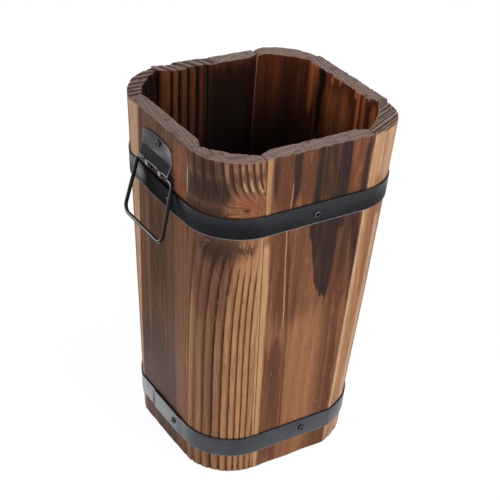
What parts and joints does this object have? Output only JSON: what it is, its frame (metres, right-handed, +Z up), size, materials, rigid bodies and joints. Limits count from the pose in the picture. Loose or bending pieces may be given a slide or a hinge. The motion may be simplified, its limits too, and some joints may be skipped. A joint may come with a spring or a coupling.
{
  "type": "wooden flower pot",
  "caption": "Tall square tapered wooden planter with rounded corner staves, lapped steel bands and drop handles of bent wire on two sides.",
  "frame": {"origin": "centre of the foot, on the surface that the pot stands on", "axes": "+Z up, -Y towards the front stave, X across the two handle sides"},
  "size_m": [0.2764, 0.2436, 0.406],
  "materials": {
    "stave_wood": "scorched and brushed softwood with raised grain",
    "floor_wood": "sawn softwood",
    "band_steel": "satin black paint",
    "screw_steel": "black",
    "bail_wire": "semi-gloss black paint"
  },
  "bodies": {
    "pot": {"front_stave": "stave_wood", "right_stave": "stave_wood", "rear_stave": "stave_wood", "left_stave": "stave_wood", "front_left_corner_stave": "stave_wood", "front_right_corner_stave": "stave_wood", "rear_right_corner_stave": "stave_wood", "rear_left_corner_stave": "stave_wood", "front_floor_plank": "floor_wood", "rear_floor_plank": "floor_wood", "upper_band": "band_steel", "lower_band": "band_steel", "upper_band_screws": "screw_steel", "lower_band_screws": "screw_steel", "left_hinge_plate": "band_steel", "right_hinge_plate": "band_steel", "left_plate_screw": "screw_steel", "right_plate_screw": "screw_steel"},
    "left_handle": {"left_bail": "bail_wire"},
    "right_handle": {"right_bail": "bail_wire"}
  },
  "joints": [
    {"name": "left_handle_swing", "type": "hinge", "parent": "pot", "child": "left_handle", "pos_m": [-0.12203, 0, 0.35188], "axis": [0, 1, 0], "range_deg": [-5, 163]},
    {"name": "right_handle_swing", "type": "hinge", "parent": "pot", "child": "right_handle", "pos_m": [0.12203, 0, 0.35188], "axis": [0, -1, 0], "range_deg": [-13, 163]}
  ]
}
